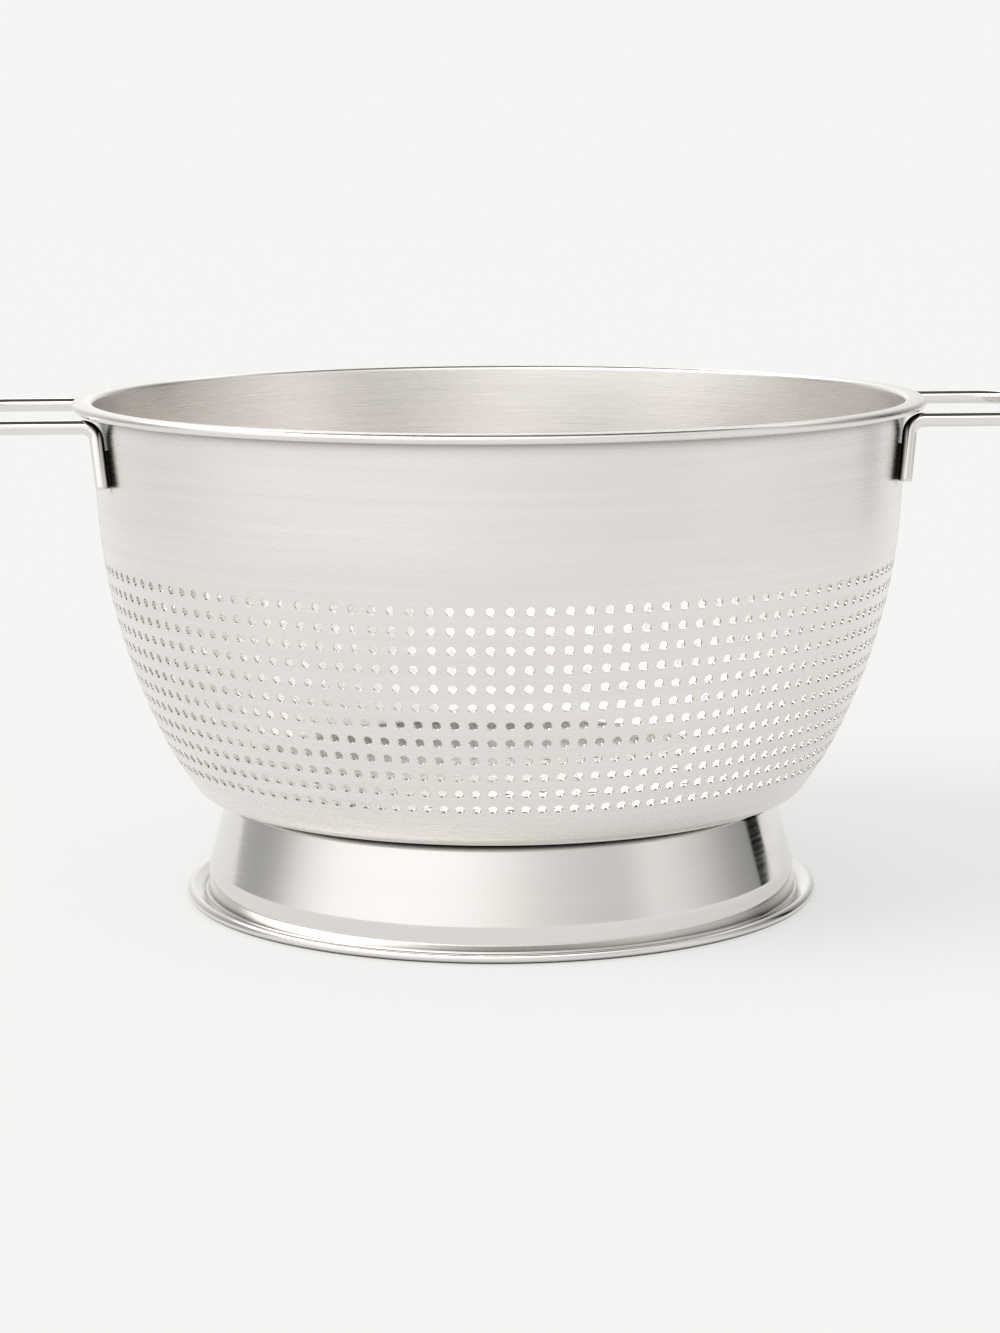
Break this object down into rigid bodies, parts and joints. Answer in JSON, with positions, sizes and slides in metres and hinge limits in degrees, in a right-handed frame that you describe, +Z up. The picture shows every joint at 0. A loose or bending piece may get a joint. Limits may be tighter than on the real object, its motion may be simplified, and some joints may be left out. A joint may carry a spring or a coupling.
{
  "type": "colander",
  "caption": "Footed stainless steel colander: a deep drawn bowl with rows of round drain holes, a rolled rim, a polished ring foot and two welded wire loop handles.",
  "frame": {"origin": "middle of the flat ring that the foot stands on", "axes": "+Z up along the bowl's axis, X along the line through both handles, Y across it"},
  "size_m": [0.352, 0.27, 0.16],
  "materials": {
    "satin_stainless": "fine satin, brushed round the bowl",
    "polished_stainless": "bright polish",
    "polished_wire": "bright polish",
    "weld_metal": "dull"
  },
  "bodies": {
    "root": {"bowl": "satin_stainless", "foot_ring": "polished_stainless", "foot_ring_spot_welds": "weld_metal", "handle_left": "polished_wire", "handle_right": "polished_wire", "handle_left_weld_front": "weld_metal", "handle_left_weld_rear": "weld_metal", "handle_right_weld_front": "weld_metal", "handle_right_weld_rear": "weld_metal"}
  },
  "joints": []
}
